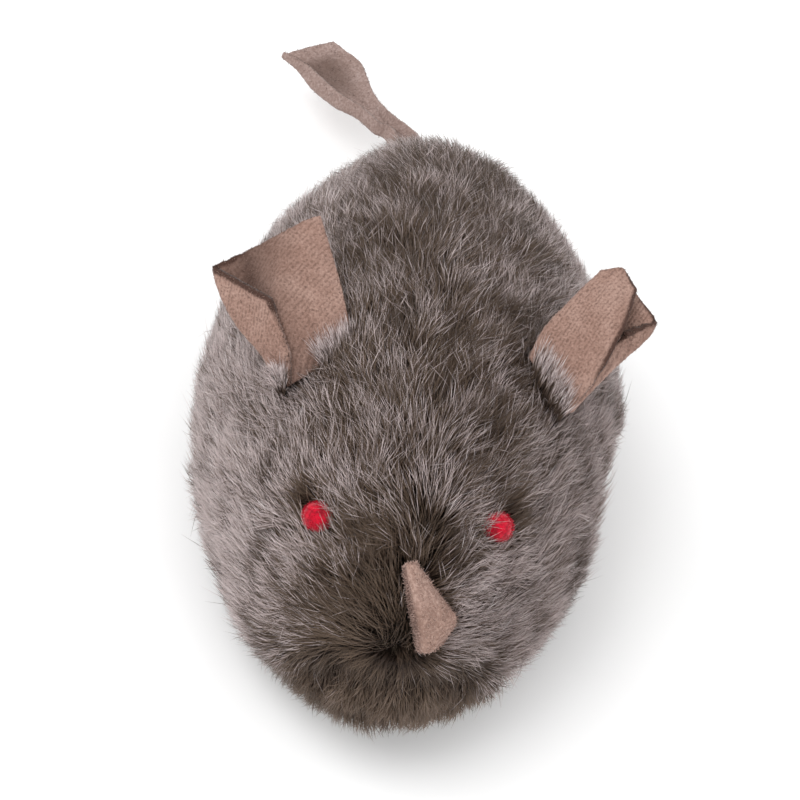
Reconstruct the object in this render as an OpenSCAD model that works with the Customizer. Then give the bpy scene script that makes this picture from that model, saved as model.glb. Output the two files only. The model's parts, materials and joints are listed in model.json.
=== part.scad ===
// Clockwork mouse: plush body over a spring motor that drives two rear wheels.
// Frame: origin on the floor under the middle of the body, +Z up, nose toward -Y,
// the mouse's left side toward +X. Millimetres.

/* [Body] */
// half width of the plush body at its widest
body_half_w = 29; // [26:0.5:36]
// from the widest section forward to the nose end
body_front = 46.5; // [44:0.5:56]
// from the widest section back to the rump
body_rear = 40.5; // [38:0.5:50]
// height of the back above the floor
body_h = 46; // [44:0.5:56]
// height of the widest line above the floor
widest_z = 14.5; // [12:0.5:18]
// distance of the widest section behind the origin
widest_y = 3.5; // [0:0.5:6]
// distance of the highest point in front of the origin
peak_y = 4; // [0:0.5:8]
// sideways offset of the hand-sewn back seam
seam_x = 1.5; // [0:0.25:3]
// thickness of the pile and its backing
plush_t = 4.5; // [3.5:0.25:6]
// gap between the plush and the wadding inside it
pad_gap = 0.4; // [0.3:0.1:1]

/* [Base] */
// ground clearance under the base plate
base_clear = 2.4; // [2:0.1:4]
// thickness of the base plate
base_t = 1.6; // [1.2:0.1:2.5]
// half width of the base plate
base_half_w = 23; // [21:0.5:24]
// distance of the base plate's rear edge behind the origin
base_rear = 33.2; // [31:0.1:35]
// rim of the base plate in front of the roller slot
base_rim = 1.5; // [1:0.1:3]
// gap between a wheel and its slot
slot_gap = 1; // [0.6:0.1:1.5]

/* [Wheels] */
// radius of a rear wheel over its tyre
wheel_r = 8.5; // [7.5:0.1:9.5]
// width of a rear wheel
wheel_w = 4.4; // [3.5:0.1:5.5]
// thickness of the rubber tyre
tyre_t = 1.2; // [0.8:0.1:2]
// distance of the rear axle behind the origin
axle_y = 14; // [12:0.5:16]
// radius of the wheel axles
axle_r = 0.75; // [0.6:0.05:1.2]
// radius of the front wheel
front_r = 4.5; // [4:0.1:5.5]
// width of the front wheel
front_w = 4.8; // [4:0.1:6]
// from the motor case forward to the front axle
front_ahead = 6.1; // [5.6:0.1:6.6]
// gap round the front roller
roller_gap = 0.8; // [0.6:0.1:1.2]
// radial clearance of every running fit
run_gap = 0.06; // [0.03:0.01:0.1]

/* [Motor] */
// gear module
gear_m = 0.5; // [0.4:0.01:0.6]
// teeth on the great wheel
great_n = 40; // [36:1:44]
// teeth on the second wheel
second_n = 36; // [32:1:40]
// teeth on the second wheel's pinion
second_pin_n = 10; // [10:1:12]
// teeth on the drive pinion
drive_pin_n = 10; // [10:1:12]
// teeth on the escape pinion
escape_pin_n = 9; // [9:1:12]
// teeth on the escape wheel
escape_n = 12; // [10:1:15]
// tip radius of the escape wheel
escape_r = 4.5; // [4:0.1:5]
// play between meshed teeth, along the pitch circle
backlash = 0.16; // [0.1:0.01:0.25]
// wall thickness of the motor case
case_wall = 1; // [0.8:0.1:1.5]
// from the middle to the outer face of the case wall
case_half_w = 10.4; // [10:0.1:12]
// clearance between the motor and the plush round it
motor_gap = 0.2; // [0.1:0.05:0.4]
// radius of the winding arbor
arbor_r = 1.5; // [1.2:0.1:2]
// radius of the winding knob
knob_r = 5.5; // [4.5:0.1:6.5]
// distance of the knob's outer face from the middle
knob_x = 25; // [23:0.5:27]
// length of the knob
knob_l = 6.5; // [5:0.5:8]
// turns of the mainspring strip
spring_turns = 6; // [4:1:8]
// thickness of the mainspring strip
spring_t = 0.3; // [0.2:0.05:0.4]
// width of the mainspring strip
spring_w = 5; // [4:0.25:5.25]

/* [Trim] */
// radius of an eye
eye_r = 2.2; // [1.6:0.1:3]
// distance of each eye from the middle
eye_x = 11.3; // [9:0.1:13]
// distance of the eyes in front of the origin
eye_y = 28; // [24:0.5:32]
// how much further forward the right eye is sewn than the left
eye_skew = 1.4; // [0:0.1:2]
// thickness of the suede of the ears, nose and tail
suede_t = 1; // [0.6:0.1:1.5]

/* [Hidden] */
eps = 0.01;
base_top = base_clear + base_t;
tilt_press = 25;
great_r = gear_m * great_n / 2;
drive_at = [axle_y, wheel_r];
second_at = drive_at + gear_m * (second_n + drive_pin_n) / 2 * [cos(127.5), sin(127.5)];
great_at = second_at + gear_m * (great_n + second_pin_n) / 2 * [cos(180.5), sin(180.5)];
escape_at = second_at + gear_m * (second_n + escape_pin_n) / 2 * [cos(24), sin(24)];
pallet_d = escape_r + 2.5;
pallet_at = escape_at + pallet_d * [cos(112), sin(112)];
pallet_pin_r = 0.6;
case_front = great_at[0] - great_r - gear_m - 0.9;
front_y = front_ahead + case_wall - case_front;
front_at = [-front_y, front_r];
base_front = front_y + front_r + roller_gap + base_rim;
base_half_l = (base_rear + base_front) / 2;
base_mid = (base_rear - base_front) / 2;
case_rear = escape_at[0] + escape_r + 1.2;
case_top = pallet_at[1] + 3.5;
case_low = base_top + case_wall;
case_in = case_half_w - case_wall;
cover_x = case_half_w - 2;
cover_t = 1.2;
spring_x = -case_in + 0.5;
great_x = spring_x + spring_w + 0.9;
great_t = 1.5;
second_x = great_x + great_t + 0.5;
second_t = 1.4;
escape_x = second_x + second_t + 1.6;
escape_t = 1.2;
wheel_x = case_half_w + 1.8;
boss_r = 1.9;
boss_in = 1.6;
spring_r_in = arbor_r + spring_t / 2 + 0.05;
spring_r_out = great_r - 0.7;
post_r = 0.8;
post_a = 135;
post_at = great_at + (spring_r_out + spring_t / 2 + post_r + 0.1) * [cos(post_a), sin(post_a)];
screw_r = 0.7;
head_r = 1.5;
head_t = 0.8;
hole_gap = 1.5;
rings = 20;
sides = 28;
mouth_y = -42;
mouth_z = 26;
mouth_slope = 47;
panel_gap = 0.1;

// superellipse profile from 1 at the middle to 0 at the end
function prof(t, n, m) = pow(max(0, 1 - pow(min(1, t), n)), 1 / m);
function sgn_pow(v, p) = sign(v) * pow(abs(v), p);

// body section data at a fraction u of the way to either end
function sec_y(u, t) = u < 0 ? widest_y + (body_front - t) * u : widest_y + (body_rear - t) * u;
function sec_w(u, t) = (body_half_w - t) * prof(abs(u), 1.85, 1.75);
function top_frac(y, t) = y < -peak_y
    ? (-peak_y - y) / (body_front - t - widest_y - peak_y)
    : (y + peak_y) / (body_rear - t + widest_y + peak_y);
function sec_top(y, t) = widest_z + (body_h - t - widest_z) * prof(top_frac(y, t), 2.2, 2.9);
function sec_low(u, t) = widest_z - (widest_z - 0.5) * prof(abs(u), 3, 2);

// one point of the body at fraction u and angle a, moved in by t
function body_pt(u, a, t) =
    let (y = sec_y(u, t), w = sec_w(u, t), c = cos(a), s = sin(a))
    s >= 0
    ? [w * c, y, widest_z + (sec_top(y, t) - widest_z) * s]
    : [w * sgn_pow(c, 2 / 3), y, widest_z - (widest_z - sec_low(u, t)) * pow(-s, 2 / 3)];

// height of the back at a point of the plan
function u_of(y) = y < widest_y ? (y - widest_y) / body_front : (y - widest_y) / body_rear;
function skin_z(x, y) = widest_z
    + (sec_top(y, 0) - widest_z) * sqrt(max(0, 1 - pow(x / sec_w(u_of(y), 0), 2)));
function skin_pt(x, y, lift) = [x, y, skin_z(x, y) + lift];

module dome(t) {
    pts = concat(
        [[0, widest_y - body_front + t, widest_z]],
        [for (i = [1 : rings - 1]) for (j = [0 : sides - 1])
            body_pt(sin(90 * (2 * i / rings - 1)), 360 * j / sides, t)],
        [[0, widest_y + body_rear - t, widest_z]]);
    last = len(pts) - 1;
    tris = concat(
        [for (j = [0 : sides - 1]) [0, 1 + (j + 1) % sides, 1 + j]],
        [for (i = [0 : rings - 3]) for (j = [0 : sides - 1])
            [1 + i * sides + j, 1 + (i + 1) * sides + (j + 1) % sides, 1 + (i + 1) * sides + j]],
        [for (i = [0 : rings - 3]) for (j = [0 : sides - 1])
            [1 + i * sides + j, 1 + i * sides + (j + 1) % sides, 1 + (i + 1) * sides + (j + 1) % sides]],
        [for (j = [0 : sides - 1])
            [last, 1 + (rings - 2) * sides + j, 1 + (rings - 2) * sides + (j + 1) % sides]]);
    polyhedron(points = pts, faces = tris, convexity = 4);
}

// cylinder along X from x0 to x1 through a point [y, z]
module rod(at, r, x0, x1, fn = 48) {
    translate([x0, at[0], at[1]])
        rotate([0, 90, 0])
            cylinder(h = x1 - x0, r = r, $fn = fn);
}

// plan shape laid on the y-z plane and pushed along X
module along_x(at, x0, x1) {
    translate([x0, at[0], at[1]])
        rotate([90, 0, 90])
            linear_extrude(height = x1 - x0, convexity = 6) children();
}

// involute tooth flank helpers
function inv_ang(rb, r) = r <= rb ? 0 : let (q = sqrt(pow(r / rb, 2) - 1)) q * 180 / PI - atan(q);

module gear_2d(n, turn, bore) {
    r = gear_m * n / 2;
    rb = r * cos(tilt_press);
    ra = r + gear_m * 0.8;
    rf = r - gear_m * 1.1;
    lo = max(rb, rf);
    half = 90 / n - backlash / (4 * r) * 180 / PI;
    shift = half + inv_ang(rb, r);
    steps = 3;
    pts = [for (k = [0 : n - 1]) let (a0 = turn + 360 * k / n) each concat(
        [[rf, a0 - shift - 0.2]],
        [for (i = [0 : steps]) let (q = lo + (ra - lo) * i / steps) [q, a0 - shift + inv_ang(rb, q)]],
        [for (i = [steps : -1 : 0]) let (q = lo + (ra - lo) * i / steps) [q, a0 + shift - inv_ang(rb, q)]],
        [[rf, a0 + shift + 0.2]])];
    difference() {
        polygon([for (p = pts) p[0] * [cos(p[1]), sin(p[1])]]);
        circle(r = bore, $fn = 48);
    }
}

// angle that brings a gear's gap in front of its partner's tooth
function mesh_turn(n_a, turn_a, n_b, dir) =
    let (phase = (dir - turn_a) / (360 / n_a))
    dir + 180 + (phase + 0.5) * 360 / n_b;

great_turn = 0;
second_pin_turn = mesh_turn(great_n, great_turn, second_pin_n, 0.5);
second_turn = 0;
drive_pin_turn = mesh_turn(second_n, second_turn, drive_pin_n, 127.5 + 180);
escape_pin_turn = mesh_turn(second_n, second_turn, escape_pin_n, 24);

function plate_pt(a, w, l) = [w * sgn_pow(cos(a), 2 / 2.3), l * sgn_pow(sin(a), 2 / 2.3)];

module plate_2d(w, l) {
    translate([0, base_mid])
        polygon([for (a = [0 : 6 : 354]) plate_pt(a, w, l)]);
}

function base_screw_spots() = [for (y = [case_front + 4, case_rear - 4]) for (x = [-6, 5]) [x, y]];
function case_corners() = [for (y = [case_front + boss_in, case_rear - boss_in])
    for (z = [case_low + boss_in, case_top - boss_in]) [y, z]];

module base_plate() {
    color("#3a3d42")
    difference() {
        base_body();
        rod(front_at, axle_r, -front_w / 2 - 1.8, front_w / 2 + 1.8);
    }
}

module base_body() {
    union() {
        difference() {
            translate([0, 0, base_clear])
                linear_extrude(height = base_t, convexity = 6) plate_2d(base_half_w, base_half_l);
            for (s = [-1, 1])
                translate([s > 0 ? wheel_x - slot_gap : -wheel_x - wheel_w - slot_gap,
                        axle_y - wheel_r, base_clear - 1])
                    cube([wheel_w + 2 * slot_gap, 2 * wheel_r, base_t + 2]);
            translate([-front_w / 2 - 0.6, -front_y - front_r - roller_gap, base_clear - 1])
                cube([front_w + 1.2, 2 * (front_r + roller_gap), base_t + 2]);
            for (p = base_screw_spots()) {
                translate([p[0], p[1], base_clear - 1])
                    cylinder(h = base_t + 2, r = screw_r + 0.1, $fn = 24);
                translate([p[0], p[1], base_clear - 1])
                    cylinder(h = 1.9, r = head_r + 0.1, $fn = 32);
            }
        }
        for (s = [-1, 1])
            translate([s > 0 ? front_w / 2 + 0.6 : -front_w / 2 - 1.8, -front_y - 2.2, base_clear])
                cube([1.2, 4.4, front_r + 2.2 - base_clear]);
    }
}

module case_walls() {
    difference() {
        translate([-case_half_w, case_front - case_wall, base_top])
            cube([case_half_w + cover_x, case_rear - case_front + 2 * case_wall,
                case_top - base_top + case_wall]);
        translate([-case_in, case_front, case_low])
            cube([case_in + cover_x + 1, case_rear - case_front, case_top - case_low]);
    }
}

module motor_case() {
    color("#c9c4b2")
    difference() {
        union() {
            case_walls();
            for (c = case_corners())
                rod(c, boss_r, -case_in - 0.5, cover_x, 32);
            for (p = base_screw_spots())
                translate([p[0], p[1], base_top])
                    cylinder(h = 3.6, r = 1.6, $fn = 32);
            rod(post_at, post_r, -case_in - 0.5, spring_x + spring_w + 0.4, 24);
        }
        for (c = case_corners())
            rod(c, screw_r, cover_x - 6, cover_x + 1, 24);
        for (p = base_screw_spots())
            translate([p[0], p[1], base_top - 1])
                cylinder(h = 4.4, r = screw_r, $fn = 24);
        rod(great_at, arbor_r - 0.5 + run_gap, -case_half_w - 1, -case_in + 1);
        rod(second_at, axle_r + run_gap, -case_half_w - 1, -case_in + 1);
        rod(drive_at, axle_r + run_gap, -case_half_w - 1, -case_in + 1);
        rod(escape_at, pallet_pin_r + run_gap, -case_half_w - 1, -case_in + 1);
        rod(pallet_at, pallet_pin_r, -case_half_w - 1, -case_in + 1);
    }
}

module motor_cover() {
    color("#bdb8a6")
    difference() {
        translate([cover_x, case_front - case_wall, base_top])
            cube([cover_t, case_rear - case_front + 2 * case_wall, case_top - base_top + case_wall]);
        for (c = case_corners())
            rod(c, screw_r + 0.1, cover_x - 1, cover_x + cover_t + 1, 24);
        rod(great_at, arbor_r + run_gap, cover_x - 1, cover_x + cover_t + 1);
        rod(second_at, axle_r + run_gap, cover_x - 1, cover_x + cover_t + 1);
        rod(drive_at, axle_r + run_gap, cover_x - 1, cover_x + cover_t + 1);
        rod(escape_at, pallet_pin_r + run_gap, cover_x - 1, cover_x + cover_t + 1);
        rod(pallet_at, pallet_pin_r, cover_x - 1, cover_x + cover_t + 1);
    }
}

module motor_screws() {
    color("#b8bcc2")
    for (c = case_corners())
        difference() {
            union() {
                rod(c, screw_r, cover_x - 5, cover_x + cover_t + 0.1, 24);
                rod(c, head_r, cover_x + cover_t, cover_x + cover_t + 0.8, 32);
            }
            translate([cover_x + cover_t + 0.5, c[0] - 1, c[1] - 0.2])
                cube([1, 2, 0.4]);
        }
}

module base_screws() {
    color("#b8bcc2")
    for (p = base_screw_spots())
        difference() {
            union() {
                translate([p[0], p[1], base_clear + 0.1])
                    cylinder(h = head_t, r = head_r, $fn = 32);
                translate([p[0], p[1], base_clear + head_t])
                    cylinder(h = 4, r = screw_r, $fn = 24);
            }
            translate([p[0] - 1, p[1] - 0.2, base_clear - 0.5])
                cube([2, 0.4, 1]);
        }
}

// spiral strip with an eye round the case post
module mainspring() {
    steps = spring_turns * 24;
    sweep = spring_turns * 360;
    color("#5b6470")
    difference() {
        union() {
            along_x(great_at, spring_x, spring_x + spring_w)
                polygon(concat(
                    [for (i = [0 : steps]) let (
                        a = post_a - sweep + sweep * i / steps,
                        r = spring_r_in + (spring_r_out - spring_r_in) * i / steps - spring_t / 2)
                        r * [cos(a), sin(a)]],
                    [for (i = [steps : -1 : 0]) let (
                        a = post_a - sweep + sweep * i / steps,
                        r = spring_r_in + (spring_r_out - spring_r_in) * i / steps + spring_t / 2)
                        r * [cos(a), sin(a)]]));
            rod(post_at, post_r + 0.4, spring_x, spring_x + spring_w, 32);
        }
        rod(post_at, post_r + 0.05, spring_x - 1, spring_x + spring_w + 1, 32);
    }
}

module winding_arbor() {
    color("#9aa0a8")
    union() {
        rod(great_at, arbor_r - 0.5, -case_half_w + 0.1, -case_in + 0.3);
        rod(great_at, arbor_r, -case_in + 0.2, knob_x - 1);
    }
}

module great_wheel() {
    color("#c8a24a")
    difference() {
        union() {
            along_x(great_at, great_x, great_x + great_t) gear_2d(great_n, great_turn, arbor_r);
            rod(great_at, 3, great_x + great_t - eps, great_x + great_t + 1.4);
        }
        rod(great_at, arbor_r, great_x - 1, great_x + great_t + 3);
        for (a = [0 : 72 : 288])
            rod(great_at + 6.2 * [cos(a), sin(a)], 1.7, great_x - 1, great_x + great_t + 1, 32);
    }
}

module winding_knob() {
    color("#d8d4c8")
    difference() {
        rod(great_at, knob_r, knob_x - knob_l, knob_x, 64);
        rod(great_at, arbor_r, knob_x - knob_l - 1, knob_x - 1);
        for (a = [0 : 36 : 324])
            rod(great_at + (knob_r + 0.3) * [cos(a), sin(a)], 0.7, knob_x - knob_l + 1.2, knob_x + 1, 16);
    }
}

module second_wheel() {
    color("#e2ddcc")
    difference() {
        union() {
            along_x(second_at, second_x, second_x + second_t) gear_2d(second_n, second_turn, axle_r);
            along_x(second_at, great_x - 0.4, second_x + eps)
                gear_2d(second_pin_n, second_pin_turn, axle_r);
            rod(second_at, 2, second_x + second_t - eps, second_x + second_t + 0.8);
        }
        rod(second_at, axle_r, great_x - 2, second_x + second_t + 3);
        for (a = [0 : 60 : 300])
            rod(second_at + 5.6 * [cos(a), sin(a)], 1.5, second_x - 0.2, second_x + second_t + 1, 32);
    }
}

module second_arbor() {
    color("#9aa0a8")
    rod(second_at, axle_r, -case_half_w + 0.1, cover_x + cover_t - 0.1);
}

module drive_axle() {
    color("#9aa0a8")
    rod(drive_at, axle_r, -wheel_x - wheel_w + 0.4, wheel_x + wheel_w - 0.4);
}

module drive_pinion() {
    color("#e2ddcc")
    along_x(drive_at, second_x - 0.4, second_x + second_t + 0.4)
        gear_2d(drive_pin_n, drive_pin_turn, axle_r);
}

module drive_wheel(s) {
    x0 = s > 0 ? wheel_x : -wheel_x - wheel_w;
    rim = wheel_r - tyre_t;
    color("#b43a2e")
    difference() {
        rod(drive_at, rim, x0 + 0.2, x0 + wheel_w - 0.2, 64);
        rod(drive_at, axle_r, x0 - 1, x0 + wheel_w + 1);
        difference() {
            rod(drive_at, rim - 1, s > 0 ? x0 + wheel_w - 1.4 : x0 - 1,
                s > 0 ? x0 + wheel_w + 1 : x0 + 1.4, 64);
            rod(drive_at, 2.4, x0 - 2, x0 + wheel_w + 2);
        }
        for (a = [0 : 60 : 300])
            rod(drive_at + (rim - 2.9) * [cos(a), sin(a)], 1.1, x0 - 1, x0 + wheel_w + 1, 24);
    }
}

module drive_wheel_left() {
    drive_wheel(1);
}

module drive_wheel_right() {
    drive_wheel(-1);
}

module tyre(s) {
    x0 = s > 0 ? wheel_x : -wheel_x - wheel_w;
    color("#26272a")
    translate([x0, drive_at[0], drive_at[1]])
        rotate([0, 90, 0])
            rotate_extrude($fn = 64)
                polygon([[wheel_r - tyre_t, 0.2], [wheel_r - 0.5, 0], [wheel_r, 0.5],
                    [wheel_r, wheel_w - 0.5], [wheel_r - 0.5, wheel_w], [wheel_r - tyre_t, wheel_w - 0.2]]);
}

module tyre_left() {
    tyre(1);
}

module tyre_right() {
    tyre(-1);
}

module escape_wheel() {
    color("#e2ddcc")
    difference() {
        union() {
            along_x(escape_at, escape_x, escape_x + escape_t)
                polygon([for (k = [0 : escape_n - 1]) let (a = 360 * k / escape_n) each [
                    (escape_r - 1.3) * [cos(a), sin(a)],
                    escape_r * [cos(a + 4), sin(a + 4)],
                    escape_r * [cos(a + 8), sin(a + 8)],
                    (escape_r - 1.3) * [cos(a + 20), sin(a + 20)]]]);
            along_x(escape_at, second_x - 0.4, escape_x + eps)
                gear_2d(escape_pin_n, escape_pin_turn, pallet_pin_r);
        }
        rod(escape_at, pallet_pin_r, second_x - 2, escape_x + 3);
    }
}

module escape_arbor() {
    color("#9aa0a8")
    rod(escape_at, pallet_pin_r, -case_half_w + 0.1, cover_x + cover_t - 0.1);
}

// rocking anchor over the escape wheel
module pallet() {
    lift = pallet_d * [cos(112), sin(112)];
    color("#c8a24a")
    difference() {
        union() {
            along_x(escape_at, escape_x, escape_x + escape_t)
                polygon(concat(
                    [for (a = [62 : 5 : 162]) (escape_r + 0.7) * [cos(a), sin(a)]],
                    [for (a = [162 : -5 : 62]) (escape_r + 1.7) * [cos(a), sin(a)]]));
            rod(pallet_at, 1.6, escape_x - 0.6, escape_x + escape_t + 0.6, 32);
        }
        rod(pallet_at, pallet_pin_r + run_gap, escape_x - 3, escape_x + escape_t + 3);
    }
}

module pallet_pin() {
    color("#9aa0a8")
    rod(pallet_at, pallet_pin_r, -case_half_w + 0.1, cover_x + cover_t - 0.1);
}

module front_wheel() {
    color("#b43a2e")
    difference() {
        rod(front_at, front_r, -front_w / 2, front_w / 2, 64);
        rod(front_at, axle_r + run_gap, -front_w, front_w);
        for (s = [-1, 1])
            difference() {
                rod(front_at, front_r - 1, s > 0 ? front_w / 2 - 0.8 : -front_w,
                    s > 0 ? front_w : 0.8 - front_w / 2, 48);
                rod(front_at, 1.6, -front_w * 2, front_w * 2, 32);
            }
    }
}

module front_axle() {
    color("#9aa0a8")
    rod(front_at, axle_r, -front_w / 2 - 1.8, front_w / 2 + 1.8);
}

// everything below the mouth seam at the front
module below_mouth(shift) {
    translate([-60, mouth_y, mouth_z + shift])
        rotate([-mouth_slope, 0, 0])
            translate([0, -40, -80])
                cube([120, 120, 80]);
}

module knob_hole() {
    rod(great_at, knob_r + hole_gap, knob_x - knob_l - 1.5, 60);
}

module shell() {
    difference() {
        dome(0);
        dome(plush_t);
        translate([-60, -80, -20])
            cube([120, 160, 20 + base_top]);
    }
}

// room for the wheels and the roller's brackets behind the plush
module wheel_room() {
    for (s = [-1, 1])
        rod(drive_at, wheel_r + 0.7, s > 0 ? wheel_x - 0.8 : -wheel_x - wheel_w - 0.8,
            s > 0 ? wheel_x + wheel_w + 0.8 : 0.8 - wheel_x, 32);
    rod(front_at, front_r + 0.7, -front_w / 2 - 0.7, front_w / 2 + 0.7, 32);
    translate([-front_w / 2 - 1.8 - motor_gap, -front_y - 2.2 - motor_gap, 0])
        cube([front_w + 3.6 + 2 * motor_gap, 4.4 + 2 * motor_gap, front_r + 2.2 + motor_gap]);
}

// room for the motor and its screw heads inside the plush
module motor_room() {
    translate([-case_half_w - motor_gap, case_front - case_wall - motor_gap, 0])
        cube([case_half_w + cover_x + cover_t + head_t + 2 * motor_gap,
            case_rear - case_front + 2 * (case_wall + motor_gap), case_top + case_wall + motor_gap]);
}

module trim_pockets() {
    ear_shape(1, 0.05);
    ear_shape(-1, 0.05);
    tail_shape(0.05);
    nose_shape(0.05);
    for (s = [-1, 1])
        eye_ball(s, 0.06);
}

module fur_cover(s) {
    color("#8f8c84")
    difference() {
        shell();
        translate([s > 0 ? seam_x - 100 + panel_gap / 2 : seam_x - panel_gap / 2, -80, -20])
            cube([100, 160, 120]);
        below_mouth(panel_gap / 2);
        if (s > 0)
            knob_hole();
        wheel_room();
        motor_room();
        trim_pockets();
    }
}

module fur_cover_left() {
    fur_cover(1);
}

module fur_cover_right() {
    fur_cover(-1);
}

module chin_panel() {
    color("#6f5f50")
    difference() {
        intersection() {
            shell();
            below_mouth(-panel_gap / 2);
        }
        wheel_room();
        motor_room();
        nose_shape(0.05);
    }
}

module stuffing() {
    color("#efece2")
    difference() {
        dome(plush_t + pad_gap);
        translate([-60, -80, -20])
            cube([120, 160, 20 + base_top + 0.3]);
        translate([-case_half_w - 0.6, case_front - case_wall - 0.6, 0])
            cube([case_half_w + cover_x + cover_t + 2.2, case_rear - case_front + 2 * case_wall + 1.2,
                case_top + case_wall + 0.6]);
        for (s = [-1, 1])
            rod(drive_at, wheel_r + 1, s > 0 ? wheel_x - 3 : -wheel_x - wheel_w - 0.8,
                s > 0 ? wheel_x + wheel_w + 0.8 : 3 - wheel_x, 64);
        translate([-wheel_x - wheel_w - 0.8, axle_y - wheel_r - 1, 0])
            cube([2 * (wheel_x + wheel_w + 0.8), 2 * wheel_r + 2, wheel_r]);
        translate([-front_w / 2 - 2.4, -front_y - front_r - 1.2, 0])
            cube([front_w + 4.8, 2 * front_r + 4, 2 * front_r + 1.2]);
        rod(great_at, arbor_r + 0.7, 0, 40);
        knob_hole();
    }
}

// thin facet of suede between points
module suede(pts, grow) {
    hull()
        for (p = pts)
            translate(p)
                cube(suede_t + 2 * grow, center = true);
}

// a point of an ear, outward, back and up from the middle of its seam
function ear_pt(s, v) = skin_pt(13 * s, -8, 0) + [s * v[0], v[1], v[2]];

// the left ear folds once near its edge, the right ear rolls into a pocket
module ear_shape(s, grow) {
    if (s > 0) {
        suede([for (v = [[0, 1.6, 0.6], [5.5, -2, -3.2], [10.4, 3.3, 1.7], [13.2, 13.8, 3],
            [11, 16.6, 4.2], [8, 14.3, 3.6]]) ear_pt(s, v)], grow);
        suede([for (v = [[10.4, 3.3, 1.4], [13.2, 13.4, 2.6], [15.9, 10, 1.6]]) ear_pt(s, v)], grow);
    } else {
        suede([for (v = [[-3.5, 1.5, 0.2], [3.6, -2.2, -3.2], [4.6, 16.4, 5.6], [1.8, 17, 6.5]])
            ear_pt(s, v)], grow);
        suede([for (v = [[3.6, -2.2, -3.2], [4.6, 16.4, 5.6], [14, 9, 4.3]]) ear_pt(s, v)], grow);
        suede([for (v = [[3.6, -2.2, -3.2], [14, 9, 4.3], [6.1, 3.9, 4.8]]) ear_pt(s, v)], grow);
    }
}

module ear_left() {
    color("#96786c")
    ear_shape(1, 0);
}

module ear_right() {
    color("#96786c")
    ear_shape(-1, 0);
}

// tail centre line, half width and fold height at four stations
function tail_mid() = [
    [1.5, widest_y + body_rear - 2.5, 13],
    [-4.2, widest_y + body_rear + 15.5, 11.4],
    [-12.5, widest_y + body_rear + 24.3, 10],
    [-20, widest_y + body_rear + 33.5, 8.5]];
tail_half = [2.2, 2.6, 3.2, 4.3];
tail_drop = [2, 1.6, 1, 0.3];
tail_turn = [-12, -30, -38, -28];

function tail_edge(i, s) = tail_mid()[i]
    + [s * tail_half[i] * cos(tail_turn[i]), -s * tail_half[i] * sin(tail_turn[i]), -tail_drop[i]];

module tail_shape(grow) {
    for (i = [0 : 2])
        for (s = [-1, 1])
            suede([tail_mid()[i], tail_mid()[i + 1], tail_edge(i, s), tail_edge(i + 1, s)], grow);
}

module tail() {
    color("#85706c")
    tail_shape(0);
}

// small suede wedge on the snout above the mouth seam
module nose_shape(grow) {
    hull() {
        for (p = [[2, -34.8], [6.9, -36.8], [1.2, -36]])
            translate(skin_pt(p[0], p[1], -0.6))
                cube(suede_t + 2 * grow, center = true);
        translate([4, -40.4, 28.8])
            cube(suede_t + 2 * grow, center = true);
        translate([2.6, -38.9, 34.2])
            cube(suede_t + 2 * grow, center = true);
    }
}

module nose() {
    color("#a98782")
    nose_shape(0);
}

module eye_ball(s, grow) {
    translate(skin_pt(s * eye_x + 0.4, -eye_y + s * eye_skew / 2, -0.2))
        sphere(r = eye_r + grow, $fn = 24);
}

module eye_left() {
    color("#a8242c")
    eye_ball(1, 0);
}

module eye_right() {
    color("#a8242c")
    eye_ball(-1, 0);
}

base_plate();
motor_case();
motor_cover();
motor_screws();
base_screws();
mainspring();
winding_arbor();
great_wheel();
winding_knob();
second_wheel();
second_arbor();
drive_axle();
drive_pinion();
drive_wheel_left();
drive_wheel_right();
tyre_left();
tyre_right();
escape_wheel();
escape_arbor();
pallet();
pallet_pin();
front_wheel();
front_axle();
fur_cover_left();
fur_cover_right();
chin_panel();
stuffing();
ear_left();
ear_right();
tail();
nose();
eye_left();
eye_right();
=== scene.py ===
import json
import math

import bmesh
import bpy
import numpy as np
from mathutils import Matrix, Vector
from mathutils.kdtree import KDTree


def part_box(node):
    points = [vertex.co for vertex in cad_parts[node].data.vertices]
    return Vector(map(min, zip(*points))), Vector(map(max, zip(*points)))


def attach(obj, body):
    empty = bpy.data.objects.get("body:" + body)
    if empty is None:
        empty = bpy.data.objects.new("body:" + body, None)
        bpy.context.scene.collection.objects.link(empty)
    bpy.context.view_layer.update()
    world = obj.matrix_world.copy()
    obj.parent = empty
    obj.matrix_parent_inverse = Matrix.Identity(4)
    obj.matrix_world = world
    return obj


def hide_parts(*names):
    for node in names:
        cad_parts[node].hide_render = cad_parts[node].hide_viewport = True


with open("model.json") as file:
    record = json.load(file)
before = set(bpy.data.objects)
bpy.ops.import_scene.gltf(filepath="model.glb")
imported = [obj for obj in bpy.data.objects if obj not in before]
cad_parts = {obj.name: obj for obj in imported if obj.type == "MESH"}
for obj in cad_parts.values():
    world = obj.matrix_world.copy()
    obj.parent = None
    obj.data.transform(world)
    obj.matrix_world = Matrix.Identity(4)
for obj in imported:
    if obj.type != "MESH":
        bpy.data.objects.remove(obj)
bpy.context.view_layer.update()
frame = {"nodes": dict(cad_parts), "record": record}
mm = 0.001


# corners and middles of the frame's nodes, in millimetres
def low(node):
    return np.array(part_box(node)[0]) / mm


def high(node):
    return np.array(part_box(node)[1]) / mm


def middle(node):
    return (low(node) + high(node)) / 2


# camera: where it stands round the mouse, and how the picture is framed
view = {"azimuth": -3.0, "elevation": 53.0, "roll": 9.05, "distance": 360.0, "lens": 121.98,
        "sensor": 36.0, "shiftX": -0.0109, "shiftY": 0.0277, "aimHeight": 20.0}


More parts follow.
